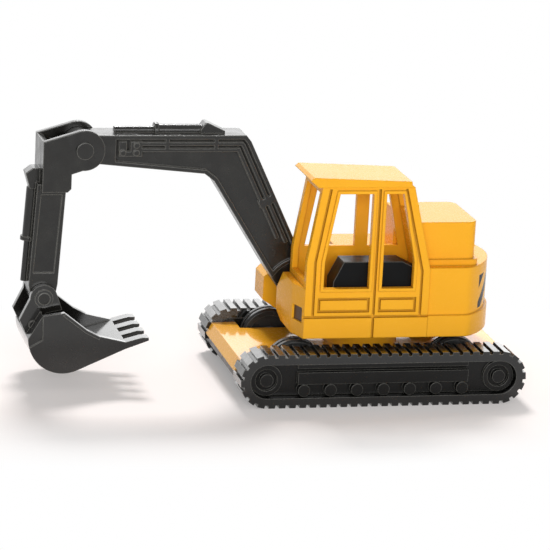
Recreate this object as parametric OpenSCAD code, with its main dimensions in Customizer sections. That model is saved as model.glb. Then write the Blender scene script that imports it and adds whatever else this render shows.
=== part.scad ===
// Toy crawler excavator: die-cast body on fixed track loops, moulded digging arm.
// +X points to the bucket, +Y to the cab side, +Z up. The origin lies on the ground
// under the middle of the overall length. Sizes are millimetres of the toy itself.

/* [Tracks] */
// Length of each track over its pads
track_len = 58; // [52:0.5:64]
// Height of each track over its pads
track_h = 10.8; // [10:0.1:11.4]
// Width of the track band
shoe_w = 7; // [5.5:0.1:8]
// Distance between the middles of the two tracks
gauge = 34; // [32:0.5:38]
// Thickness of the track band under its pads
belt_t = 1.4; // [1:0.1:1.7]
// Height of the pads above the band
pad_h = 0.6; // [0.3:0.05:0.8]
// Number of pads on each track
pad_count = 60; // [48:1:66]
// Share of the pitch that one pad takes
pad_share = 0.7; // [0.5:0.01:0.8]
// Number of bottom rollers moulded on each side frame
roller_count = 7; // [5:1:8]
// Radius of a bottom roller
roller_r = 1.2; // [0.8:0.1:1.4]

/* [Wheels] */
// Radius of the running wheels between the tracks
wheel_r = 5.8; // [5.4:0.1:5.9]
// Width of a running wheel
wheel_w = 3.4; // [2.5:0.1:4]
// Distance of each axle from the turning centre
axle_x = 16.3; // [15:0.1:18]
// Radius of the steel axles
axle_r = 0.8; // [0.6:0.05:1]

/* [Chassis] */
// Distance that the deck's top stops short of each track end
deck_end = 1.4; // [1.4:0.1:4]
// Height of the deck top above the ground
deck_z = 7.9; // [7.4:0.1:8.4]
// Thickness of the deck casting
deck_t = 2.3; // [2:0.1:2.6]
// Forward reach of the deck's sloped ends past its top edge
deck_slope = 1.2; // [0.5:0.1:1.3]
// Height of the tray's underside above the ground
tray_z = 2.6; // [2:0.1:3.2]
// Radius of the turntable boss on the deck
boss_r = 7.5; // [6.5:0.1:8.4]
// Radius of the rivet that the upper body turns on
rivet_r = 1.9; // [1.5:0.1:2.4]

/* [Upper body] */
// Height of the upper body's lower edge above the ground
body_z = 12.3; // [12.1:0.1:13]
// Width of the upper body
body_w = 29; // [27:0.5:31]
// Rearward reach of the round tail from the turning centre
tail_r = 25.5; // [24.5:0.5:28]
// Radius of the tail's round rear seen from above
tail_arc = 18; // [17:0.5:24]
// Height of the tail casting's top edge
tail_z = 26.2; // [24.5:0.1:27]
// Height of the engine hood's top
hood_z = 34.9; // [32:0.1:37]
// Width of the engine hood
hood_w = 17; // [14:0.5:18]
// Distance of the hood's side from the body's side
hood_inset = 3; // [2:0.1:4]
// Radius of the tail's upright rear corners
corner_r = 2.7; // [1:0.1:3]
// Radius of the hood's upright rear corners
hood_r = 1.8; // [1:0.1:3]
// Height of the top edge of the skirt round the upper body
skirt_z = 16.6; // [15.5:0.1:17]
// Step from the skirt in to the tail's walls
side_step = 0.5; // [0.3:0.05:0.8]
// Thickness of the black floor plate
floor_t = 1.3; // [1:0.1:1.6]
// Forward reach of the tool box beside the boom
box_x = 18.7; // [16:0.1:20]
// Height of the tool box's top
box_z = 20; // [18:0.1:22]

/* [Cab] */
// Width of the cab
cab_w = 13.3; // [12.5:0.1:13.5]
// Forward reach of the cab's side wall
cab_x = 15.5; // [14.5:0.1:16]
// Rearward reach of the cab
cab_back = 9.7; // [9:0.1:11]
// Height of the cab walls' top edge
cab_z = 42.7; // [40:0.1:45]
// Thickness of the cab walls
cab_wall = 1.2; // [1:0.1:1.5]
// Height of the roof panel
roof_t = 2; // [1.4:0.1:2.6]
// Width of the grooves round the doors
groove_w = 0.5; // [0.25:0.05:0.6]
// Depth of the grooves round the doors
groove_d = 0.6; // [0.2:0.05:0.7]
// Width of the raised window frames
rim_w = 0.6; // [0.4:0.05:0.8]
// Height of the raised window frames
rim_h = 0.35; // [0.15:0.05:0.4]

/* [Boom] */
// Distance of the boom's foot pin ahead of the turning centre
foot_x = 12.5; // [11.5:0.1:13]
// Height of the boom's foot pin
foot_z = 17; // [16.5:0.1:18]
// Horizontal distance from foot pin to boom head pin
boom_run = 45.4; // [42:0.1:48]
// Height of the boom head pin above the foot pin
boom_rise = 30.3; // [28:0.1:33]
// Width of the boom
boom_w = 7; // [6:0.1:7.4]
// Gap between the boom and the cab wall beside it
slot_gap = 0.7; // [0.5:0.1:1]
// Depth of the recessed webs on the boom's sides
web_d = 0.65; // [0.3:0.05:0.8]
// Width of the flanges along the boom's edges
flange_w = 0.8; // [0.5:0.05:1]
// Width of the pipes moulded on the boom's sides
pipe_w = 0.7; // [0.5:0.05:0.8]

/* [Stick] */
// Distance from boom head pin down to bucket pin
stick_drop = 29.6; // [27:0.1:33]
// Distance from boom head pin forward to bucket pin
stick_reach = 7.1; // [6.5:0.1:8]
// Depth of the stick's beam from front to back
stick_d = 5.7; // [5:0.1:6.2]
// Thickness of the fork plates and bucket ears
plate_t = 1.3; // [1:0.1:1.6]

/* [Bucket] */
// Width of the bucket
bucket_w = 17.4; // [15:0.2:18.4]
// Radius of the bucket's round heel
heel_r = 7; // [6.4:0.1:7.4]
// Wall thickness of the bucket
bucket_t = 1.1; // [0.8:0.1:1.3]
// Number of bucket teeth
tooth_count = 4; // [3:1:5]
// Width of a bucket tooth
tooth_w = 2.4; // [1.6:0.1:2.6]
// Length of a bucket tooth past the lip
tooth_len = 4.6; // [3:0.1:5]

/* [Fits] */
// Radius of the arm's pins
pin_r = 1.2; // [1:0.05:1.3]
// Radial running clearance of pins, axles and the rivet
run_gap = 0.06; // [0.03:0.01:0.1]
// Side clearance between moving plates
side_gap = 0.25; // [0.15:0.05:0.35]
// Gap between parts that turn past each other
turn_gap = 0.1; // [0.05:0.05:0.2]

/* [Hidden] */
$fn = 64;

yellow = [0.96, 0.68, 0.12];
black = [0.12, 0.12, 0.12];
steel = [0.7, 0.7, 0.72];
lamp_brown = [0.3, 0.2, 0.12];

// Tracks and chassis
inner_y = (gauge - shoe_w) / 2;
loop_r = track_h / 2 - pad_h;
loop_half = (track_len - track_h) / 2;
loop_in_r = loop_r - belt_t;
pad_pitch = (4 * loop_half + 2 * PI * loop_r) / pad_count;
pad_taper = 0.1;
frame_gap = 0.1;
frame_recess = 2;
wheel_in = 0.5;
wheel_y = inner_y - wheel_in;
tread_edge = 0.4;
wheel_dish = 0.5;
wheel_rim = 1.4;
wheel_hub = 1.2;
tread_groove = 0.8;
tread_depth = 0.5;
rail_end = 6.3;
rail_out = 1.1;
rail_h = 2.4;
rail_low = 0.9;
ledge_up = 2.2;
ledge_h = 0.8;
relief_in = 0.4;
relief_root = 0.5;
ring_gap = 0.3;
ring_w = 0.9;
hub_r = 1.3;
notch_gap = 0.6;
tray_inset = 0.6;
tray_chamfer = 1.2;
seat_gap = 0.02;

// Upper body
half_w = body_w / 2;
floor_top = body_z + floor_t;
cab_y = half_w - cab_w;
slot_back = 5;
arm_y = cab_y - slot_gap - boom_w / 2;
slot_y = arm_y - boom_w / 2 - slot_gap;
hood_y = half_w - hood_inset;
hood_back = 19.8;
head_h = 1.1;
head_flange = 1.5;
head_r = rivet_r + head_flange;
head_room = 0.5;
floor_back = 17;
floor_in = 1.9;
floor_side = half_w - floor_in;

// Arm pins in the plane of the arm, as [x, z]
foot = [foot_x, foot_z];
head = foot + [boom_run, boom_rise];
tip = head + [stick_reach, -stick_drop];
boom_half = boom_w / 2;
fork_half = boom_half + side_gap + plate_t;
tongue_half = boom_half - 1;

lug_r = 3;
foot_clear = 7.5;
cap_h = 0.5;

// Cab: heights, rakes and edges of its outline and windows
waist_h = 15.5;
sill_h = 10.1;
lintel = 1.2;
waist_z = body_z + waist_h;
sill_z = body_z + sill_h;
window_z = cab_z - lintel;
pillar_rake = 2.4;
rear_rake = 4.2;
rear_drop = 2;
pillar_w = 1.6;
screen_sill = 1.2;
header = 0.3;
split_x = 1.5;
door_in = 1.7;
post_w = 1.3;
panel_gap = 0.9;
panel_h = 3;
frame_in = 3.5;
slot_frame = 2.4;
slot_sill_z = waist_z + 0.2;
// Windows in the near side and beside the boom, anticlockwise as [x, z]
door_windows = [
    [
        [split_x + post_w, sill_z], [cab_x - frame_in, sill_z], [cab_x - frame_in, waist_z],
        [cab_x - frame_in - pillar_rake, window_z], [split_x + post_w, window_z]
    ],
    [
        [-cab_back + frame_in, sill_z], [split_x - post_w, sill_z], [split_x - post_w, window_z],
        [-cab_back + frame_in + rear_rake - post_w, window_z], [-cab_back + frame_in, waist_z]
    ]
];
slot_windows = [
    [
        [split_x + post_w, slot_sill_z], [cab_x - slot_frame, slot_sill_z],
        [cab_x - slot_frame - pillar_rake, window_z], [split_x + post_w, window_z]
    ],
    [
        [-cab_back + frame_in, slot_sill_z], [split_x - post_w, slot_sill_z], [split_x - post_w, window_z],
        [-cab_back + frame_in + rear_rake - post_w, window_z]
    ]
];
nose_root = 2;
nose_reach = 2.5;
nose_side = 1.6;
nose_flat = 2.4;
nose_tuck = 1.1;
nose_chin = 2.6;
nose_brow = 3;
lamp_face = 5.4;
lamp_w = 3.6;
lamp_h = 3;
lamp_z = 4.5;
lamp_depth = 0.8;
roof_visor = 0.1;
roof_over = 0.1;
roof_lip = 0.6;
roof_edge = 0.7;
roof_drop = 0.8;
roof_tail = 0.1;
seat_front = 4.7;
seat_h = 13.8;
seat_bevel = 2;
seat_w = 5;

// Tail and tool box
plinth_w = 0.6;
plinth_h = 1.2;
box_chin = 3;
box_edge = 1;

// Boom outline from the foot pin, as [x, z]
boom_back = [-2.7, 1.6];
boom_belly = [5.4, 2.4];
boom_crook = [19.1, 23.8];
boom_throat = [21.1, 25.3];
boom_knee = [13, 33];
boom_shoulder = [12, 31.8];
boom_head_r = 2.9;
boom_outline = [
    foot + boom_back, foot + boom_belly, foot + boom_crook, foot + boom_throat,
    head + [-2, -boom_head_r], head + [-2, boom_knee[1] - boom_rise],
    foot + boom_knee, foot + boom_shoulder
];
web_end = 6.4;
pipe_gap = 0.55;
pipe_share = 0.72;
clamp_x = [18.6, 28.4];
clamp_w = 0.8;
clamp_leg = 0.6;
valve_gap = 0.6;
valve_w = 4.6;
valve_h = 3;
valve_cap_r = 0.6;

// Cylinders moulded on boom and stick
rod_r = 0.75;
rod_len = 14.4;
barrel_r = 1.2;
barrel_len = 9.6;
barrel_share = 0.52;
collar_r = 1.55;
collar_w = 0.8;
bracket_t = 0.5;
bracket_l = 4.4;
bracket_h = 2.1;

// Stick
fork_r = 4;
fork_reach = 8.1;
fork_rise = 1.7;
fork_drop = 8.3;
fork_heel = 3.6;
fork_top_a = 78;
fork_low_a = 230;
stick_step = 0.7;
stick_eye = 2.4;
panel_d = 0.25;

// Bucket: heel, back edge, lip and mouth edge from its pin
heel_back = 3.6;
heel_drop = 7.3;
back_in = 0.6;
back_drop = 2.6;
lip_reach = 15.9;
lip_drop = 8.1;
lip_t = 1.4;
lip_len = 5.5;
lip_rise = 0.27;
tooth_nib = 0.4;
heel = tip - [heel_back, heel_drop];
back_top = tip + [back_in, -back_drop];
lip = tip - [lip_reach, lip_drop];
lip_low = lip - [0, lip_t];
lip_root = lip + lip_len * [1, -lip_rise];
mouth = [
    back_top, back_top + [-4.2, 0.6], tip + [-8.1, -5.5], tip + [-10.8, -6.9], lip
];
notch_drop = 7.5;
notch_d = 0.45;
notch_a = -22;
floor_a = 222;
under_a = 245;
ear_r = 2.7;
ear_back_a = 54;
ear_front_a = 158;

// Front and rear ends of the whole toy, which place the origin between them
ear_nose = tip + [4.7, -4.3];
x_mid = (ear_nose[0] - track_len / 2) / 2;

module placed() {
    translate([-x_mid, 0, 0])
        children();
}

// Extrudes an outline drawn in X and Z between two planes of constant Y
module across(y0, y1) {
    translate([0, y1, 0])
        rotate([90, 0, 0])
            linear_extrude(y1 - y0)
                children();
}

// Same, centred on the arm's middle plane
module across_arm(half) {
    across(arm_y - half, arm_y + half)
        children();
}

module stadium(half, r) {
    square([2 * half, 2 * r], center = true);
    for (side = [-1, 1])
        translate([side * half, 0])
            circle(r);
}

// Point of the track's outer band at distance s along it, raised by h
function band_point(s, h) =
    let (run = 2 * loop_half, bend = PI * loop_r, r = loop_r + h)
    s < run ? [s - loop_half, r] :
    s < run + bend ?
        let (a = 90 - (s - run) / bend * 180) [loop_half + r * cos(a), r * sin(a)] :
    s < 2 * run + bend ? [loop_half - (s - run - bend), -r] :
        let (a = -90 - (s - 2 * run - bend) / bend * 180) [-loop_half + r * cos(a), r * sin(a)];

module track() {
    half = pad_share * pad_pitch / 2;
    outline = [
        for (i = [0 : pad_count - 1])
            let (s = (i + 0.5) * pad_pitch)
            each [
                band_point(s - half, 0),
                band_point(s - half + pad_taper, pad_h),
                band_point(s + half - pad_taper, pad_h),
                band_point(s + half, 0)
            ]
    ];
    across(inner_y, inner_y + shoe_w)
        translate([0, track_h / 2])
            difference() {
                polygon(outline);
                stadium(loop_half, loop_in_r);
            }
}

module track_left() {
    color(black)
        placed()
            track();
}

module track_right() {
    color(black)
        placed()
            mirror([0, 1, 0])
                track();
}

// Black moulding that fills the track loop and shows rollers, idler and sprocket in relief
module side_frame() {
    slab_y = inner_y + shoe_w - frame_recess;
    panel_y = slab_y + rail_out;
    rail_half = loop_half - rail_end;
    roller_z = track_h / 2 - loop_in_r + roller_r + frame_gap;
    roller_pitch = 2 * (rail_half - roller_r) / (roller_count - 1);
    end_r = loop_in_r - ring_gap;
    across(inner_y, slab_y)
        translate([0, track_h / 2])
            stadium(loop_half, loop_in_r - frame_gap);
    across(slab_y - relief_root, panel_y)
        translate([-rail_half, track_h / 2 - rail_low])
            square([2 * rail_half, rail_h]);
    across(slab_y - relief_root, panel_y - relief_in)
        translate([-rail_half, track_h / 2 + ledge_up])
            square([2 * rail_half, ledge_h]);
    for (i = [0 : roller_count - 1])
        translate([-rail_half + roller_r + i * roller_pitch, 0, roller_z])
            across(slab_y - relief_root, panel_y + ring_gap)
                circle(roller_r);
    for (side = [-1, 1])
        translate([side * loop_half, 0, track_h / 2]) {
            across(slab_y - relief_root, panel_y - relief_in)
                difference() {
                    circle(end_r);
                    circle(end_r - ring_w);
                }
            across(slab_y - relief_root, panel_y)
                circle(hub_r);
        }
}

module side_frame_left() {
    color(black)
        placed()
            side_frame();
}

module side_frame_right() {
    color(black)
        placed()
            mirror([0, 1, 0])
                side_frame();
}

// Room for the running wheels and the axles between the tracks
module wheel_room() {
    room = wheel_r + notch_gap;
    for (end = [-1, 1], side = [-1, 1])
        translate([end * axle_x - room, side > 0 ? wheel_y - wheel_w - notch_gap : -inner_y - 1, 0])
            cube([2 * room, inner_y + 1 - wheel_y + wheel_w + notch_gap, track_h]);
    for (end = [-1, 1])
        translate([end * axle_x, 0, wheel_r])
            across(-inner_y, inner_y)
                circle(axle_r + run_gap);
}

module deck() {
    top_half = track_len / 2 - deck_end;
    low_half = top_half + deck_slope;
    low_z = deck_z - deck_t;
    color(yellow)
        placed()
            difference() {
                union() {
                    across(-inner_y, inner_y)
                        polygon([
                            [-low_half, low_z], [low_half, low_z],
                            [top_half, deck_z], [-top_half, deck_z]
                        ]);
                    translate([0, 0, low_z])
                        cylinder(r = boss_r, h = body_z - turn_gap - low_z);
                }
                wheel_room();
                cylinder(r = rivet_r + run_gap, h = body_z);
            }
}

module tray() {
    half = track_len / 2 - deck_end + deck_slope - tray_inset;
    low_half = half - tray_chamfer;
    top_z = deck_z - deck_t;
    color(black)
        placed()
            difference() {
                across(-inner_y, inner_y)
                    polygon([
                        [-low_half, tray_z], [low_half, tray_z], [half, tray_z + tray_chamfer],
                        [half, top_z], [-half, top_z], [-half, tray_z + tray_chamfer]
                    ]);
                wheel_room();
                cylinder(r = rivet_r + run_gap, h = body_z);
            }
}

// Rivet through tray, deck boss and floor plate, with a head at each end
module slew_rivet() {
    color(steel)
        placed() {
            translate([0, 0, tray_z - head_h])
                cylinder(r = rivet_r, h = floor_top + turn_gap + 2 * head_h - tray_z);
            translate([0, 0, tray_z - head_h])
                cylinder(r = head_r, h = head_h);
            translate([0, 0, floor_top + turn_gap])
                cylinder(r = head_r, h = head_h);
        }
}

module axle(end) {
    placed()
        translate([end * axle_x, 0, wheel_r])
            across(-wheel_y, wheel_y)
                circle(axle_r);
}

module front_axle() {
    color(steel)
        axle(1);
}

module rear_axle() {
    color(steel)
        axle(-1);
}

// Black wheel with a grooved tread, bevelled edges and dished faces
module wheel(end, side) {
    edge = tread_edge;
    groove = (wheel_w - tread_groove) / 2;
    dish = wheel_dish;
    rim = wheel_r - wheel_rim;
    hub = axle_r + wheel_hub;
    placed()
        translate([end * axle_x, side * wheel_y, wheel_r])
            rotate([90 * side, 0, 0])
                rotate_extrude()
                    polygon([
                        [axle_r + seat_gap, 0], [hub, 0], [hub, dish], [rim, dish], [rim, 0],
                        [wheel_r - edge, 0], [wheel_r, edge], [wheel_r, groove],
                        [wheel_r - tread_depth, groove], [wheel_r - tread_depth, wheel_w - groove],
                        [wheel_r, wheel_w - groove], [wheel_r, wheel_w - edge], [wheel_r - edge, wheel_w],
                        [rim, wheel_w], [rim, wheel_w - dish], [hub, wheel_w - dish],
                        [hub, wheel_w], [axle_r + seat_gap, wheel_w]
                    ]);
}

module front_wheel_left() {
    color(black)
        wheel(1, 1);
}

module front_wheel_right() {
    color(black)
        wheel(1, -1);
}

module rear_wheel_left() {
    color(black)
        wheel(-1, 1);
}

module rear_wheel_right() {
    color(black)
        wheel(-1, -1);
}

// Black plate that closes the upper body below and carries the two boom lugs
module floor_plate() {
    lug_in = tongue_half + side_gap;
    front = cab_x - cab_wall - turn_gap;
    color(black)
        placed()
            difference() {
                union() {
                    translate([-floor_back, -floor_side, body_z])
                        cube([floor_back + front, 2 * floor_side, floor_t]);
                    for (lug = [-1, 1])
                        across(arm_y + (lug > 0 ? lug_in : -lug_in - plate_t),
                               arm_y + (lug > 0 ? lug_in + plate_t : -lug_in)) {
                            translate(foot)
                                circle(lug_r);
                            translate([foot_x - lug_r, body_z + floor_t / 2])
                                square([1.5 * lug_r, foot_z - body_z - floor_t / 2]);
                        }
                }
                translate(foot_at())
                    across_arm(boom_w)
                        circle(pin_r);
                cylinder(r = rivet_r + run_gap, h = body_z + 2 * floor_t);
            }
}

function foot_at() = [foot[0], 0, foot[1]];
function head_at() = [head[0], 0, head[1]];
function tip_at() = [tip[0], 0, tip[1]];

// Left-hand normal of the way from a to b
function left_of(a, b) = [a[1] - b[1], b[0] - a[0]] / norm(b - a);

// Outline drawn in by d at every edge, for points in anticlockwise order
function inset(points, d) =
    let (n = len(points))
    [
        for (i = [0 : n - 1])
            let (
                before = left_of(points[(i + n - 1) % n], points[i]),
                after = left_of(points[i], points[(i + 1) % n])
            )
            points[i] + d * (before + after) / (1 + before * after)
    ];

// Straight bands of one width along a line of points, round at the corners
module strip(points, w) {
    for (i = [0 : len(points) - 2]) {
        a = points[i];
        d = points[i + 1] - a;
        translate(a)
            rotate(atan2(d[1], d[0]))
                translate([0, -w / 2])
                    square([norm(d), w]);
    }
    for (i = [1 : len(points) - 2])
        translate(points[i])
            circle(w / 2);
}

// Round bar in the arm's middle plane from p to q
module bar(p, q, r) {
    d = q - p;
    translate([p[0], arm_y, p[1]])
        rotate([0, atan2(d[0], d[1]), 0])
            cylinder(r = r, h = norm(d));
}

// Same outline on both sides of the arm, from near out to far
module both_sides(near, far) {
    across(arm_y + near, arm_y + far)
        children();
    across(arm_y - far, arm_y - near)
        children();
}

// Side outline of the cab, drawn in by the given distance
module cab_side(d) {
    front = cab_x - d;
    back = -cab_back + d;
    polygon([
        [front, body_z - 1], [front, waist_z], [front - pillar_rake, cab_z + d],
        [back + rear_rake, cab_z + d], [back, waist_z - rear_drop], [back, body_z - 1]
    ]);
}

// Plan of the round tail behind the boom slot, drawn in by d, with rounded corners
module tail_plan(d) {
    half = half_w - d;
    r = tail_arc - d;
    middle = tail_arc - tail_r;
    corner = [-sqrt(pow(r - corner_r, 2) - pow(half - corner_r, 2)), half - corner_r];
    difference() {
        intersection() {
            translate([middle, 0])
                circle(r);
            translate([-2 * tail_r, -half])
                square([2 * tail_r + slot_back, 2 * half]);
        }
        for (side = [0, 1])
            mirror([0, side])
                translate([middle, 0])
                    polygon([
                        corner, corner * (r + corner_r) / norm(corner),
                        [corner[0], half + corner_r]
                    ]);
    }
    translate([middle, -half])
        square([slot_back - middle, 2 * half]);
    for (side = [0, 1])
        mirror([0, side])
            translate([middle + corner[0], corner[1]])
                circle(corner_r);
}

// Plan of the engine hood, grown outwards by the given distance
module hood_plan(grow) {
    front = -cab_back + rear_rake;
    translate([-hood_back - grow + hood_r, hood_y - hood_w - grow])
        square([hood_back + grow - hood_r + front, hood_w + 2 * grow]);
    translate([-hood_back - grow, hood_y - hood_w - grow + hood_r])
        square([hood_r, hood_w + 2 * (grow - hood_r)]);
    for (y = [hood_y + grow - hood_r, hood_y - hood_w - grow + hood_r])
        translate([-hood_back - grow + hood_r, y])
            circle(hood_r);
}

// Room for the floor plate in the castings above it
module floor_room() {
    side = floor_side + turn_gap;
    translate([-floor_back - turn_gap, -side, body_z - 1])
        cube([floor_back + turn_gap + cab_x - cab_wall, 2 * side, floor_t + 1 + turn_gap]);
}

// Room for the upper rivet head
module rivet_room() {
    translate([0, 0, body_z])
        cylinder(r = head_r + head_room, h = floor_t + turn_gap + head_h + head_room);
}

// Yellow tail casting with skirt, engine hood and tool box
module house() {
    color(yellow)
        placed()
            difference() {
                union() {
                    translate([0, 0, body_z])
                        linear_extrude(skirt_z - body_z)
                            tail_plan(0);
                    translate([0, 0, body_z])
                        linear_extrude(tail_z - body_z)
                            tail_plan(side_step);
                    translate([0, 0, body_z])
                        linear_extrude(hood_z - body_z)
                            hood_plan(0);
                    translate([0, 0, body_z])
                        linear_extrude(tail_z + plinth_h - body_z)
                            hood_plan(plinth_w);
                    across(-half_w, slot_y)
                        polygon([
                            [0, body_z], [box_x - box_chin, body_z], [box_x, body_z + box_chin * 2 / 3],
                            [box_x, box_z - box_edge], [box_x - box_edge, box_z], [0, box_z]
                        ]);
                }
                across(cab_y - seat_gap, half_w + 1)
                    cab_side(-seat_gap);
                floor_room();
                rivet_room();
            }
}

// Cab front below the windscreen: bulges most beside the boom and tucks in at top and bottom
module cab_nose() {
    intersection() {
        translate([0, 0, body_z])
            linear_extrude(sill_z - body_z)
                polygon([
                    [cab_x - nose_root, cab_y], [cab_x + nose_reach, cab_y],
                    [cab_x + nose_reach, cab_y + nose_flat], [cab_x + nose_side, half_w - lamp_face],
                    [cab_x, half_w], [cab_x - nose_root, half_w]
                ]);
        across(cab_y, half_w)
            polygon([
                [cab_x - nose_root, body_z], [cab_x + nose_reach - nose_tuck, body_z],
                [cab_x + nose_reach, body_z + nose_chin], [cab_x + nose_reach, sill_z - nose_brow],
                [cab_x + nose_reach - nose_tuck, sill_z], [cab_x - nose_root, sill_z]
            ]);
    }
}

// Door grooves, lower panels and skirt line in the near side
module door_grooves() {
    strip([[split_x, body_z - 1], [split_x, cab_z - header]], groove_w);
    strip([[-cab_back - 1, skirt_z], [cab_x + 1, skirt_z]], groove_w);
    strip([
        [cab_x - door_in - pillar_rake, cab_z - header], [cab_x - door_in, waist_z],
        [cab_x - door_in, skirt_z]
    ], groove_w);
    strip([
        [-cab_back + door_in + rear_rake, cab_z - header], [-cab_back + door_in, waist_z - rear_drop],
        [-cab_back + door_in, skirt_z]
    ], groove_w);
    for (x = [[split_x + panel_gap, cab_x - door_in - panel_gap],
              [-cab_back + door_in + panel_gap, split_x - panel_gap]])
        difference() {
            translate([x[0], skirt_z + panel_gap])
                square([x[1] - x[0], panel_h]);
            translate([x[0] + groove_w, skirt_z + panel_gap + groove_w])
                square([x[1] - x[0] - 2 * groove_w, panel_h - 2 * groove_w]);
        }
}

module cab() {
    color(yellow)
        placed()
            difference() {
                union() {
                    intersection() {
                        across(cab_y, half_w)
                            cab_side(0);
                        translate([-2 * tail_r, 0, body_z])
                            cube([4 * tail_r, body_w, cab_z - body_z]);
                    }
                    cab_nose();
                    across(half_w - rim_h, half_w + rim_h)
                        for (window = door_windows)
                            polygon(inset(window, -rim_w));
                }
                intersection() {
                    across(cab_y + cab_wall, half_w - cab_wall)
                        cab_side(cab_wall);
                    translate([-2 * tail_r, 0, floor_top])
                        cube([4 * tail_r, body_w, 2 * cab_z]);
                }
                across(half_w - 2 * cab_wall, half_w + 1)
                    for (window = door_windows)
                        polygon(window);
                across(half_w - groove_d, half_w + 1)
                    door_grooves();
                across(cab_y - 1, cab_y + 2 * cab_wall)
                    for (window = slot_windows)
                        polygon(window);
                // Windscreen and rear window
                translate([0, cab_y + pillar_w, sill_z + screen_sill])
                    cube([2 * cab_x, cab_w - 2 * pillar_w, window_z - sill_z - screen_sill]);
                translate([-2 * cab_back, cab_y + pillar_w, hood_z + screen_sill])
                    cube([2 * cab_back - split_x, cab_w - 2 * pillar_w, window_z - hood_z - screen_sill]);
                headlamp_pocket(lamp_w + 2 * seat_gap, lamp_h + 2 * seat_gap, cab_x);
                floor_room();
                rivet_room();
            }
}

// Block of the given width, height and depth set into the slanted corner of the nose
module headlamp_pocket(w, h, d) {
    translate([cab_x + nose_side / 2, half_w - lamp_face / 2, body_z + lamp_z])
        rotate([0, 0, atan2(nose_side, lamp_face)])
            translate([-lamp_depth, -w / 2, -h / 2])
                cube([d, w, h]);
}

module headlamp() {
    color(lamp_brown)
        placed()
            headlamp_pocket(lamp_w, lamp_h, lamp_depth / 2);
}

module roof() {
    front = cab_x + roof_visor;
    back = -cab_back + rear_rake - roof_tail;
    color(yellow)
        placed()
            across(cab_y - roof_over, half_w + roof_over)
                polygon([
                    [front, cab_z + roof_t - roof_lip], [front - roof_edge, cab_z + roof_t],
                    [back + roof_tail + roof_edge, cab_z + roof_t - roof_drop],
                    [back + roof_edge, cab_z + roof_t - roof_drop - roof_edge],
                    [back, cab_z], [front - pillar_rake + roof_edge, cab_z]
                ]);
}

// Black moulding that shows through the cab windows as seat and controls
module cab_interior() {
    front = cab_x - cab_wall - seat_front;
    back = -cab_back + cab_wall + side_gap;
    top = floor_top + seat_h;
    near = half_w - cab_wall - side_gap;
    color(black)
        placed()
            across(near - seat_w, near)
                polygon([
                    [front, floor_top], [front, top - 2 * seat_bevel], [front - seat_bevel, top],
                    [back + 2 * seat_bevel, top], [back, top - seat_bevel], [back, floor_top]
                ]);
}

module foot_pin() {
    color(black)
        placed()
            translate(foot_at())
                across_arm(tongue_half + side_gap + plate_t)
                    circle(pin_r);
}

// Cranked boom: recessed webs with pipes between flanges, stick cylinder along the top
module boom() {
    color(black)
        placed()
            difference() {
                union() {
                    // Tongue at the foot
                    across_arm(tongue_half) {
                        translate(foot)
                            circle(lug_r);
                        polygon([
                            foot + boom_back, foot + [boom_belly[0] - lug_r, boom_back[1] - lug_r],
                            foot + boom_belly, foot + boom_crook, foot + boom_shoulder
                        ]);
                    }
                    // Main beam, wider than the tongue from clear of the lugs
                    across_arm(boom_half)
                        difference() {
                            polygon(boom_outline);
                            translate(foot)
                                circle(foot_clear);
                        }
                    across_arm(boom_half)
                        translate(head)
                            circle(boom_head_r);
                    boom_cylinder();
                    both_sides(boom_half - web_d, boom_half + rim_h)
                        valve_caps();
                }
                both_sides(boom_half - web_d, boom_half + 1)
                    boom_web();
                for (pin = [foot_at(), head_at()])
                    translate(pin)
                        across_arm(boom_w)
                            circle(pin_r + run_gap);
            }
}

// Area of the boom's side that lies below its flanges, pipes and clamps
module boom_web() {
    outer = inset(boom_outline, flange_w);
    head_end = head[0] - web_end;
    difference() {
        polygon(outer);
        translate(foot)
            circle(foot_clear + flange_w);
        translate([head_end, foot[1]])
            square([boom_run, 2 * boom_rise]);
        for (i = [0, 1])
            boom_pipe(flange_w + (i + 1) * pipe_gap + (i + 0.5) * pipe_w);
        // Clamps over the pipes and the valve block near the head
        for (x = clamp_x)
            translate([foot[0] + x, head[1]])
                square([clamp_w, boom_head_r]);
        translate(foot + boom_back + clamp_leg * (boom_shoulder - boom_back))
            rotate(atan2(boom_shoulder[1] - boom_back[1], boom_shoulder[0] - boom_back[0]) - 90)
                square([flange_w + 2.5 * pipe_gap + 2 * pipe_w, 2 * clamp_w]);
        translate([head_end - valve_gap - valve_w, head[1] - valve_h / 2]) {
            square([valve_w / 2, valve_h]);
            square([valve_w, valve_h / 3]);
            translate([valve_w * 2 / 3, 0])
                square([valve_w / 3, valve_h]);
        }
    }
}

// Caps that stand out from the valve block
module valve_caps() {
    translate([head[0] - web_end - valve_gap - valve_w, head[1]])
        for (at = [[1 / 4, 1 / 4], [1 / 4, -1 / 4], [5 / 6, -1 / 4]])
            translate([at[0] * valve_w, at[1] * valve_h])
                circle(valve_cap_r);
}

// One pipe along the boom's top and down its back, at depth d below the outline
module boom_pipe(d) {
    line = inset(boom_outline, d);
    knee = len(line) - 2;
    strip([
        [head[0] - web_end - valve_gap - valve_w, line[knee][1]], line[knee], line[knee + 1],
        line[knee + 1] + pipe_share * (line[0] - line[knee + 1])
    ], pipe_w);
}

// Stick cylinder lying on the boom: rod, collar, barrel and its bracket
module boom_cylinder() {
    top = foot[1] + boom_knee[1];
    z = top + rod_r / 2;
    collar = head[0] - rod_len;
    end = collar - barrel_len;
    bar([collar, z], [head[0] - web_end, z], rod_r);
    bar([end, z], [collar, z], barrel_r);
    bar([collar - collar_w, z], [collar, z], collar_r);
    across_arm(barrel_r + bracket_t)
        polygon([
            [end - bracket_l, top - 1], [end + bracket_t, top - 1], [end + bracket_t, top + rod_r],
            [end - bracket_t, top + bracket_h], [end - 2 * bracket_t, top + bracket_h],
            [end - bracket_l, top + bracket_t]
        ]);
}

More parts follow.
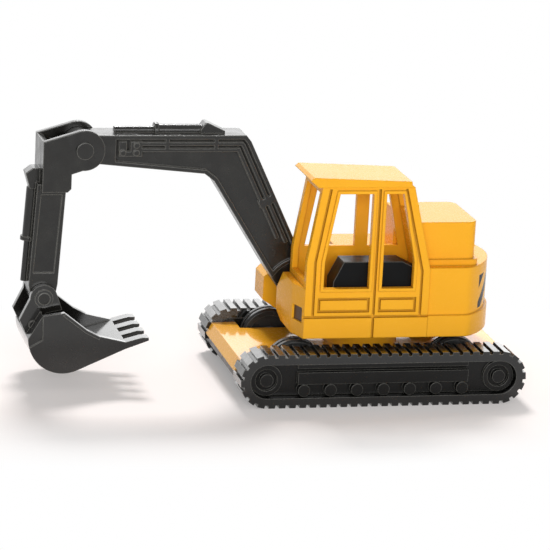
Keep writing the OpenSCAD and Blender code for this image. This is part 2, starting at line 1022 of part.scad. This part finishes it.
// Stick: fork round the boom head, beam down to the bucket pin, cylinder in relief in front
module stick() {
    fork_front = head[0] + fork_reach;
    beam_back = fork_front - stick_d + stick_step;
    fork_low = head[1] - fork_drop;
    lean = tip[0] - stick_d / 2 - beam_back;
    color(black)
        placed()
            difference() {
                union() {
                    // Fork plates
                    both_sides(boom_half + side_gap, fork_half) {
                        translate(head)
                            circle(fork_r);
                        polygon([
                            [fork_front, head[1] + fork_rise],
                            head + fork_r * [cos(fork_top_a), sin(fork_top_a)], head,
                            head + fork_r * [cos(fork_low_a), sin(fork_low_a)],
                            [beam_back - stick_step, fork_low + fork_heel],
                            [beam_back - stick_step, fork_low + stick_step], [beam_back, fork_low],
                            [fork_front, fork_low]
                        ]);
                    }
                    // Front wall and floor that join the plates
                    across_arm(fork_half) {
                        polygon([
                            [fork_front - plate_t, head[1] + fork_rise - plate_t / 3],
                            [fork_front, head[1] + fork_rise], [fork_front, fork_low],
                            [fork_front - plate_t, fork_low]
                        ]);
                        translate([beam_back, fork_low])
                            square([fork_front - beam_back, plate_t]);
                    }
                    across_arm(boom_half) {
                        polygon([
                            [beam_back, fork_low + plate_t], [beam_back + lean, tip[1] + stick_eye],
                            tip - [stick_eye, 0], tip + [stick_eye, 0],
                            [beam_back + stick_d + lean, tip[1] + stick_eye],
                            [beam_back + stick_d, fork_low + plate_t]
                        ]);
                        translate(tip)
                            circle(stick_eye);
                    }
                    stick_cylinder([beam_back + stick_d, fork_low], lean);
                }
                // Shallow panel in each side of the beam
                both_sides(boom_half - panel_d, boom_half + 1)
                    polygon([
                        [beam_back + flange_w, fork_low - flange_w],
                        [beam_back + lean + flange_w, tip[1] + 2 * stick_eye],
                        [beam_back + stick_d + lean - flange_w, tip[1] + 2 * stick_eye],
                        [beam_back + stick_d - flange_w, fork_low - flange_w]
                    ]);
                translate(head_at())
                    across_arm(2 * fork_half)
                        circle(pin_r);
                translate(tip_at())
                    across_arm(fork_half)
                        circle(pin_r + run_gap);
            }
}

// Bucket cylinder down the stick's front: ear, barrel, collar and rod
module stick_cylinder(low, lean) {
    out = low + [barrel_r / 3, 0];
    end = out + [lean, tip[1] + stick_eye - low[1]];
    mid = out + barrel_share * (end - out);
    across_arm(barrel_r + bracket_t)
        polygon([
            low + [-1, fork_heel + bracket_t], low + [-1, 0], low + [barrel_r, 0],
            low + [bracket_h, fork_heel - bracket_t], low + [rod_r, fork_heel + bracket_t]
        ]);
    bar(out, mid, barrel_r);
    bar(mid, mid + collar_w * (end - out) / norm(end - out), collar_r);
    bar(mid, end, rod_r);
}

module head_pin() {
    color(black)
        placed()
            translate(head_at()) {
                across_arm(fork_half)
                    circle(pin_r);
                both_sides(fork_half, fork_half + cap_h)
                    circle(pin_r + cap_h);
            }
}

// Lower half of the bucket's round heel
module heel_round() {
    intersection() {
        translate(heel)
            circle(heel_r);
        translate(heel - [2 * heel_r, 2 * heel_r])
            square([4 * heel_r, 2 * heel_r]);
    }
}

// Outline of the bucket's side
module bucket_side(low) {
    heel_round();
    polygon(concat([heel + [heel_r, 0], back_top], mouth, [lip_low, low, heel]));
}

// Bucket with two ears that straddle the stick
module bucket() {
    low = heel + heel_r * [cos(under_a), sin(under_a)];
    half = bucket_w / 2;
    ear_in = boom_half + side_gap;
    inner_back = heel + [heel_r - bucket_t, 0];
    inner_top = back_top - [bucket_t, bucket_t / 3];
    notch = tip + [back_in, -notch_drop];
    color(black)
        placed()
            difference() {
                union() {
                    // Side plates, set back behind the ears, with a raised rim along the mouth
                    both_sides(half - bucket_t, half - notch_d)
                        bucket_side(low);
                    both_sides(half - bucket_t, half)
                        difference() {
                            bucket_side(low);
                            polygon([
                                notch, heel + 2 * heel_r * [cos(notch_a), sin(notch_a)],
                                heel + [2 * heel_r, heel_drop], [notch[0], tip[1]]
                            ]);
                        }
                    both_sides(half, half + rim_h)
                        strip(inset_line(mouth, rim_w / 2), rim_w);
                    // Curved floor and back between the side plates
                    across_arm(half - notch_d - seat_gap)
                        difference() {
                            union() {
                                heel_round();
                                polygon([heel + [heel_r, 0], back_top, heel, lip, lip_low, low]);
                            }
                            translate(heel)
                                circle(heel_r - bucket_t);
                            polygon([
                                inner_back, inner_top, inner_top + [0, heel_r], lip + [-1, 2 * heel_r],
                                lip - [1, 0], lip, lip_root,
                                heel + (heel_r - bucket_t) * [cos(floor_a), sin(floor_a)]
                            ]);
                        }
                    teeth(half);
                    // Ears with a hub round the pin and a boss below it
                    both_sides(ear_in, ear_in + plate_t) {
                        translate(tip)
                            circle(ear_r);
                        polygon([
                            tip + ear_r * [cos(ear_back_a), sin(ear_back_a)], ear_nose,
                            heel + [heel_r - bucket_t / 2, -1],
                            inner_back, inner_top, tip - [ear_r + 1, ear_r - bucket_t / 3],
                            tip + ear_r * [cos(ear_front_a), sin(ear_front_a)]
                        ]);
                    }
                    both_sides(ear_in + plate_t, ear_in + plate_t + rim_h) {
                        translate(tip)
                            circle(pin_r + rim_w);
                        translate(ear_nose - [ear_r, 1])
                            circle(pin_r - rim_h);
                    }
                }
                translate(tip_at())
                    across_arm(2 * fork_half)
                        circle(pin_r);
            }
}

// Middle line of a rim of the given half width on the inner side of an open line
function inset_line(points, d) =
    [
        for (i = [1 : len(points) - 2])
            let (
                before = left_of(points[i - 1], points[i]),
                after = left_of(points[i], points[i + 1])
            )
            points[i] + d * (before + after) / (1 + before * after)
    ];

// Teeth in line with the lip plate, blunt at their points
module teeth(half) {
    pitch = (2 * half - tooth_w) / (tooth_count - 1);
    up = [-1, lip_rise];
    for (i = [0 : tooth_count - 1]) {
        y = arm_y - half + i * pitch;
        across(y, y + tooth_w)
            polygon([
                lip - lip_t * up, lip_low, lip_low + tooth_len * up + [0, tooth_nib],
                lip + tooth_len * up - [0, tooth_nib], lip + (tooth_len - lip_t) * up
            ]);
    }
}

module bucket_pin() {
    color(black)
        placed()
            translate(tip_at())
                across_arm(fork_half + rim_h)
                    circle(pin_r);
}

track_left();
track_right();
side_frame_left();
side_frame_right();
deck();
tray();
slew_rivet();
front_axle();
front_wheel_left();
front_wheel_right();
rear_axle();
rear_wheel_left();
rear_wheel_right();
floor_plate();
house();
cab();
roof();
cab_interior();
headlamp();
foot_pin();
boom();
stick();
head_pin();
bucket();
bucket_pin();
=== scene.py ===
import math

import bpy
from mathutils import Matrix, Vector

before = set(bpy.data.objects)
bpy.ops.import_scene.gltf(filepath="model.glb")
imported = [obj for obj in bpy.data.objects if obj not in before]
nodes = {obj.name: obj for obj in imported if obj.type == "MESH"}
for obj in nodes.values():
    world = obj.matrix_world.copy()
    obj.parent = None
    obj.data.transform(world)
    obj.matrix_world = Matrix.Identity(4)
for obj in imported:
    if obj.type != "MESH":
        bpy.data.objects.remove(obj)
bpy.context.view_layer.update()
scene = bpy.context.scene

MM = 0.001
# Turning axis of the upper body
SLEW_X = -20.35 * MM

# Camera: direction from the object and roll in degrees, distance, and the point that it looks at
CAM_AZ = 76.0
CAM_EL = 14.8
CAM_ROLL = 3.0
CAM_DIST = 600 * MM
CAM_TARGET = (SLEW_X + 18.2 * MM, 0.0, 21.4 * MM)
# Its focal length in pixels of a picture of this width, and the sensor's width
CAM_FOCAL_PX = 3005.0
IMAGE_PX = 550
SENSOR = 36.0

# Slanted stripes on the tail: middle and radius of its arc, half length of their band round it,
# how far behind the middle the band begins, its heights, the stripes' pitch and their black share
TAIL_X = SLEW_X - 7.5 * MM
STRIPE_R = 17.5 * MM
STRIPE_HALF = 12.3 * MM
STRIPE_BACK = 7.0 * MM
STRIPE_LOW = 17.2 * MM
STRIPE_HIGH = 24.0 * MM
STRIPE_PITCH = 5.6 * MM
STRIPE_SHARE = 0.5

# Vertices that lie closer than this are one, and faces closer than this angle to a plane are one
WELD_WITHIN = 0.002 * MM
FLAT_WITHIN = math.radians(0.5)
# Faces that meet at a smaller angle than this are shaded as one curve
SMOOTH_BELOW = math.radians(28)

# Part of a noise's values that is spread over a material's range
NOISE_LOW, NOISE_HIGH = 0.35, 0.65
# Enamel: patterns per metre of its tone, gloss and orange peel, share of the deep tone, height of the peel
TONE_SCALE, GLOSS_SCALE, PEEL_SCALE = 90.0, 2600.0, 1100.0
TONE_SHARE = 0.35
PEEL_STRENGTH, PEEL_HEIGHT = 0.12, 0.12 * MM
# Painted shade in grooves and inner corners: how near a wall must be, the open shares where it begins
# # and is full, its dark tone's share in enamel, and the share of its gloss that plastic keeps there
GROOVE_REACH = 0.8 * MM
GROOVE_START, GROOVE_FULL = 0.75, 0.4
GROOVE_SHADE_SHARE = 0.6
GROOVE_SHADE_GLOSS = 0.1
# Plastic: patterns per metre of its tone, gloss and grain, height of the grain
CLOUD_SCALE, SHEEN_SCALE, GRAIN_SCALE = 220.0, 400.0, 2400.0
GRAIN_STRENGTH, GRAIN_HEIGHT = 0.08, 0.06 * MM
# Steel: patterns per metre of its drawn grain, height of the grain, edge radius
DRAWN_SCALE = 3000.0
DRAWN_STRENGTH, DRAWN_HEIGHT = 0.1, 0.05 * MM
DRAWN_EDGE = 0.1 * MM
# Painted highlight on the edges of plastic: the cosines between face and rounded edge where the painted
# # highlight starts and is most, and its share there
HIGHLIGHT_START, HIGHLIGHT_FULL = 0.99, 0.85
HIGHLIGHT_SHARE = 0.4

# Floor: half its width, how far it lies below the tracks, and the oval in which it keeps the shadow:
# shares of x and y in the distance, where it begins and ends to fade, white share inside
FLOOR_HALF = 3.0
FLOOR_DROP = 0.02 * MM
OVAL = (0.65, 1.5, 0)
FADE_START, FADE_END = 45 * MM, 85 * MM
FADE_INSIDE = 0.25
# Strength of the world as light
WORLD_LIGHT = 0.33
# Lamps: place, width and height in metres, power in watts; all aim at the object's middle
LAMP_AIM = Vector((0, 0, 20 * MM))
LAMPS = {
    "key": ((-0.04, -0.48, 0.62), (0.2, 0.16), 5.0),
    "rim": ((-0.18, -0.73, 0.27), (1.2, 0.4), 2.4),
    "front": ((0.1, 0.8, 0.25), (0.6, 0.3), 4.3),
}


def srgb(r, g, b):
    """Linear colour from 8-bit screen values."""
    def linear(c):
        c /= 255
        return c / 12.92 if c <= 0.04045 else ((c + 0.055) / 1.055) ** 2.4
    return (linear(r), linear(g), linear(b), 1.0)


# The third yellow is a painted shade tone for grooves and inner corners
YELLOW, YELLOW_DEEP, YELLOW_GROOVE_SHADE = srgb(247, 178, 42), srgb(241, 167, 34), srgb(140, 96, 24)
STRIPE_BLACK = srgb(30, 28, 26)
# Light grey painted on plastic edges as a highlight
EDGE_HIGHLIGHT_GREY = srgb(155, 153, 146)
STEEL_DARK, STEEL_LIGHT = (0.52, 0.52, 0.54, 1), (0.66, 0.66, 0.67, 1)
FLOOR_LIT, FLOOR_SEEN = (0.86, 0.86, 0.86, 1), (0.97, 0.89, 0.86, 1)


class Graph:
    """Adds nodes to an emptied node tree and joins them; values are sockets or constants."""

    def __init__(self, tree):
        self.tree = tree
        tree.nodes.clear()

    def add(self, kind, **props):
        node = self.tree.nodes.new(kind)
        for key, value in props.items():
            setattr(node, key, value)
        return node

    def feed(self, target, value):
        if isinstance(value, bpy.types.NodeSocket):
            self.tree.links.new(value, target)
        else:
            target.default_value = value

    def fill(self, node, values):
        """Feed a node's inputs by name or number and return its outputs."""
        for key, value in values.items():
            self.feed(node.inputs[key], value)
        return node.outputs

    def math(self, operation, *values):
        node = self.add("ShaderNodeMath", operation=operation)
        return self.fill(node, dict(enumerate(values)))[0]

    def vector(self, operation, *values):
        node = self.add("ShaderNodeVectorMath", operation=operation)
        return self.fill(node, dict(enumerate(values)))

    def ranged(self, value, start, end, low, high):
        """Spread a value from start to end over low to high, with nothing beyond."""
        node = self.add("ShaderNodeMapRange")
        return self.fill(node, {"Value": value, "From Min": start, "From Max": end,
                                "To Min": low, "To Max": high})["Result"]

    def blend(self, share, first, second):
        """Mix two shaders."""
        return self.fill(self.add("ShaderNodeMixShader"), {0: share, 1: first, 2: second})[0]

    def split_by_ray(self, lit, seen):
        """Camera, glossy and transmission rays get the seen shader, all others the lit one."""
        path = self.add("ShaderNodeLightPath").outputs
        most = self.math("MAXIMUM", path["Is Camera Ray"], path["Is Glossy Ray"])
        return self.blend(self.math("MAXIMUM", most, path["Is Transmission Ray"]), lit, seen)


class Look(Graph):
    """A material with one principled surface, patterned in the object's own space."""

    def __init__(self, name):
        self.mat = bpy.data.materials.new(name)
        self.mat.use_nodes = True
        super().__init__(self.mat.node_tree)
        self.bsdf = self.add("ShaderNodeBsdfPrincipled")
        self.fill(self.add("ShaderNodeOutputMaterial"), {"Surface": self.bsdf.outputs["BSDF"]})
        self.place = self.add("ShaderNodeTexCoord").outputs["Object"]

    def set(self, **values):
        self.fill(self.bsdf, {key.replace("_", " "): value for key, value in values.items()})

    def noise(self, scale, detail):
        node = self.add("ShaderNodeTexNoise")
        return self.fill(node, {"Vector": self.place, "Scale": scale, "Detail": detail,
                                "Roughness": 0.5})["Fac"]

    def spread(self, noise, low, high):
        return self.ranged(noise, NOISE_LOW, NOISE_HIGH, low, high)

    def mix(self, share, first, second):
        """Mix two colours."""
        node = self.add("ShaderNodeMix", data_type="RGBA")
        return self.fill(node, {0: share, 6: first, 7: second})[2]

    def rounding(self, radius):
        """Normals of edges that are rounded to a radius, as paint and moulds leave them."""
        return self.fill(self.add("ShaderNodeBevel", samples=8), {"Radius": radius})["Normal"]

    def painted_edge_highlight(self, rounded):
        """Share of painted highlight: none on faces, most on the rounded edges."""
        face = self.add("ShaderNodeNewGeometry").outputs["Normal"]
        near = self.vector("DOT_PRODUCT", rounded, face)["Value"]
        return self.ranged(near, HIGHLIGHT_START, HIGHLIGHT_FULL, 0.0, HIGHLIGHT_SHARE)

    def openness(self):
        """Share of open space round a point: 1 on open faces, less in grooves and inner corners."""
        node = self.add("ShaderNodeAmbientOcclusion", samples=8, only_local=True)
        return self.fill(node, {"Distance": GROOVE_REACH})["AO"]

    def painted_groove_shade(self, openness, outside, inside):
        """Painted shade: a value that goes from outside on open faces to inside in grooves and inner corners.
        """
        return self.ranged(openness, GROOVE_START, GROOVE_FULL, outside, inside)

    def bumped(self, height, strength, depth, rounded):
        """Fine bumps over the rounded edges."""
        bump = self.add("ShaderNodeBump")
        return self.fill(bump, {"Height": height, "Strength": strength, "Distance": depth,
                                "Normal": rounded})["Normal"]


def stripe_mask(g):
    """1 where the slanted black stripes lie on the tail's rear, measured round its arc."""
    x, y, z = g.fill(g.add("ShaderNodeSeparateXYZ"), {"Vector": g.place})
    back = g.math("SUBTRACT", TAIL_X, x)
    arc = g.math("MULTIPLY", g.math("ARCTAN2", y, back), STRIPE_R)
    turn = g.math("FRACT", g.math("DIVIDE", g.math("ADD", arc, z), STRIPE_PITCH))
    black = g.math("LESS_THAN", turn, STRIPE_SHARE)
    for inside in (g.math("LESS_THAN", g.math("ABSOLUTE", arc), STRIPE_HALF),
                   g.math("GREATER_THAN", back, STRIPE_BACK),
                   g.math("GREATER_THAN", z, STRIPE_LOW),
                   g.math("LESS_THAN", z, STRIPE_HIGH)):
        black = g.math("MULTIPLY", black, inside)
    return black


def paint(name, edge, coat=0.1, stripes=False):
    """Yellow enamel on a zinc casting: soft flow marks, faint tone changes, thick round edges."""
    g = Look(name)
    color = g.mix(g.spread(g.noise(TONE_SCALE, 2.0), 0.0, TONE_SHARE), YELLOW, YELLOW_DEEP)
    # Painted shade: the enamel darkens towards a brown tone in grooves and inner corners
    color = g.mix(g.painted_groove_shade(g.openness(), 0.0, GROOVE_SHADE_SHARE), color, YELLOW_GROOVE_SHADE)
    if stripes:
        color = g.mix(stripe_mask(g), color, STRIPE_BLACK)
    peel = g.bumped(g.noise(PEEL_SCALE, 2.0), PEEL_STRENGTH, PEEL_HEIGHT, g.rounding(edge))
    g.set(Base_Color=color, Roughness=g.spread(g.noise(GLOSS_SCALE, 4.0), 0.2, 0.3), Normal=peel,
          IOR=1.15, Coat_Weight=coat, Coat_Roughness=0.08)
    return g.mat


def plastic(name, base, dark, rough, edge, shine=0.3, coat=0.0):
    """Moulded plastic: fine grain, cloudy gloss between two roughnesses, slightly round edges with a
    painted highlight, and painted shade in grooves.
    """
    g = Look(name)
    rounded = g.rounding(edge)
    openness = g.openness()
    color = g.mix(g.spread(g.noise(CLOUD_SCALE, 3.0), 0.0, 1.0), base, dark)
    # Painted highlight: rounded edges are mixed towards a light grey
    color = g.mix(g.painted_edge_highlight(rounded), color, EDGE_HIGHLIGHT_GREY)
    grain = g.bumped(g.noise(GRAIN_SCALE, 4.0), GRAIN_STRENGTH, GRAIN_HEIGHT, rounded)
    # Painted shade: specular and coat are dimmed in grooves and inner corners
    g.set(Base_Color=color, Roughness=g.spread(g.noise(SHEEN_SCALE, 3.0), *rough), Normal=grain,
          IOR=1.5, Specular_IOR_Level=g.painted_groove_shade(openness, shine, GROOVE_SHADE_GLOSS * shine),
          Coat_Weight=g.painted_groove_shade(openness, coat, GROOVE_SHADE_GLOSS * coat), Coat_Roughness=0.12)
    return g.mat


def steel(name):
    """Drawn steel with a fine grain."""
    g = Look(name)
    grain = g.noise(DRAWN_SCALE, 3.0)
    color = g.mix(g.spread(grain, 0.0, 1.0), STEEL_DARK, STEEL_LIGHT)
    drawn = g.bumped(grain, DRAWN_STRENGTH, DRAWN_HEIGHT, g.rounding(DRAWN_EDGE))
    g.set(Base_Color=color, Roughness=g.spread(grain, 0.25, 0.4), Normal=drawn, Metallic=1.0)
    return g.mat


# Each material with the nodes that have it
LOOKS = [
    (paint("yellow_enamel", 0.3 * MM), ["cab", "roof"]),
    (paint("deck_enamel", 0.3 * MM, coat=0.7), ["deck"]),
    (paint("striped_enamel", 0.45 * MM, stripes=True), ["house"]),
    (plastic("arm_plastic", srgb(30, 29, 26), srgb(22, 21, 19), (0.18, 0.3), 0.35 * MM, shine=0.42),
     ["boom", "stick", "head_pin", "bucket_pin", "foot_pin"]),
    (plastic("scoop_plastic", srgb(26, 25, 23), srgb(19, 18, 16), (0.18, 0.3), 0.3 * MM, shine=0.1, coat=1.0),
     ["bucket"]),
    (plastic("track_plastic", srgb(14, 14, 13), srgb(8, 8, 7), (0.2, 0.32), 0.2 * MM, shine=0.2, coat=0.8),
     ["track_left", "track_right"]),
    (plastic("frame_plastic", srgb(14, 14, 13), srgb(8, 8, 7), (0.2, 0.32), 0.2 * MM, shine=0.24),
     ["side_frame_left", "side_frame_right", "tray", "floor_plate"]),
    (plastic("inner_plastic", srgb(14, 15, 16), srgb(9, 10, 11), (0.35, 0.5), 0.35 * MM, shine=0.1),
     ["cab_interior"]),
    (plastic("wheel_plastic", srgb(38, 38, 38), srgb(30, 30, 30), (0.2, 0.32), 0.15 * MM),
     ["front_wheel_left", "front_wheel_right", "rear_wheel_left", "rear_wheel_right"]),
    (plastic("lamp_plastic", srgb(92, 66, 44), srgb(76, 52, 34), (0.3, 0.45), 0.15 * MM), ["headlamp"]),
    (steel("drawn_steel"), ["slew_rivet", "front_axle", "rear_axle"]),
]


def dress(obj, mat):
    """Give a node its material, whole flat faces and clean shading across its curves."""
    obj.data.materials.clear()
    obj.data.materials.append(mat)
    weld = obj.modifiers.new("weld", "WELD")
    weld.merge_threshold = WELD_WITHIN
    flat = obj.modifiers.new("flat", "DECIMATE")
    flat.decimate_type = "DISSOLVE"
    flat.angle_limit = FLAT_WITHIN
    split = obj.modifiers.new("split", "EDGE_SPLIT")
    split.split_angle = SMOOTH_BELOW
    for poly in obj.data.polygons:
        poly.use_smooth = True


def make_floor():
    """White floor that shows the object's shadow near it and fades to plain white."""
    corners = [(x * FLOOR_HALF, y * FLOOR_HALF, 0) for x, y in ((-1, -1), (1, -1), (1, 1), (-1, 1))]
    mesh = bpy.data.meshes.new("floor")
    mesh.from_pydata(corners, [], [(0, 1, 2, 3)])
    floor = bpy.data.objects.new("floor", mesh)
    floor.location.z = -FLOOR_DROP
    scene.collection.objects.link(floor)
    mat = bpy.data.materials.new("floor_white")
    mat.use_nodes = True
    g = Graph(mat.node_tree)
    place = g.add("ShaderNodeTexCoord").outputs["Object"]
    far = g.vector("LENGTH", g.vector("MULTIPLY", place, OVAL)["Vector"])["Value"]
    lit = g.fill(g.add("ShaderNodeBsdfDiffuse"), {"Color": FLOOR_LIT})[0]
    shaded = g.fill(g.add("ShaderNodeBsdfDiffuse"), {"Color": FLOOR_SEEN})[0]
    white = g.fill(g.add("ShaderNodeEmission"), {"Strength": 1.0})[0]
    seen = g.blend(g.ranged(far, FADE_START, FADE_END, FADE_INSIDE, 1.0), shaded, white)
    g.fill(g.add("ShaderNodeOutputMaterial"), {"Surface": g.split_by_ray(lit, seen)})
    mesh.materials.append(mat)


def make_world():
    """Even studio light with a white background."""
    world = bpy.data.worlds.new("studio")
    world.use_nodes = True
    scene.world = world
    g = Graph(world.node_tree)
    lit = g.fill(g.add("ShaderNodeBackground"), {"Strength": WORLD_LIGHT})[0]
    seen = g.fill(g.add("ShaderNodeBackground"), {"Strength": 1.0})[0]
    g.fill(g.add("ShaderNodeOutputWorld"), {"Surface": g.split_by_ray(lit, seen)})


def make_lamp(name, place, size, power):
    data = bpy.data.lights.new(name, "AREA")
    data.shape = "RECTANGLE"
    data.size, data.size_y = size
    data.energy = power
    obj = bpy.data.objects.new(name, data)
    obj.location = place
    obj.rotation_euler = (LAMP_AIM - Vector(place)).to_track_quat("-Z", "Y").to_euler()
    scene.collection.objects.link(obj)


def make_camera():
    az, el, roll = (math.radians(a) for a in (CAM_AZ, CAM_EL, CAM_ROLL))
    out = Vector((math.cos(el) * math.cos(az), math.cos(el) * math.sin(az), math.sin(el)))
    level = Vector((0, 0, 1)).cross(out).normalized()
    upright = out.cross(level)
    right = math.cos(roll) * level + math.sin(roll) * upright
    up = math.cos(roll) * upright - math.sin(roll) * level
    cam = bpy.data.cameras.new("camera")
    cam.sensor_fit = "HORIZONTAL"
    cam.sensor_width = SENSOR
    cam.lens = CAM_FOCAL_PX * SENSOR / IMAGE_PX
    cam.clip_start = 0.01
    cam.clip_end = 20
    obj = bpy.data.objects.new("camera", cam)
    turn = Matrix((right, up, out)).transposed().to_4x4()
    obj.matrix_world = Matrix.Translation(Vector(CAM_TARGET) + CAM_DIST * out) @ turn
    scene.collection.objects.link(obj)
    scene.camera = obj


for mat, names in LOOKS:
    for name in names:
        dress(nodes[name], mat)
make_floor()
make_world()
for name, (place, size, power) in LAMPS.items():
    make_lamp(name, place, size, power)
make_camera()
scene.view_settings.view_transform = "Standard"
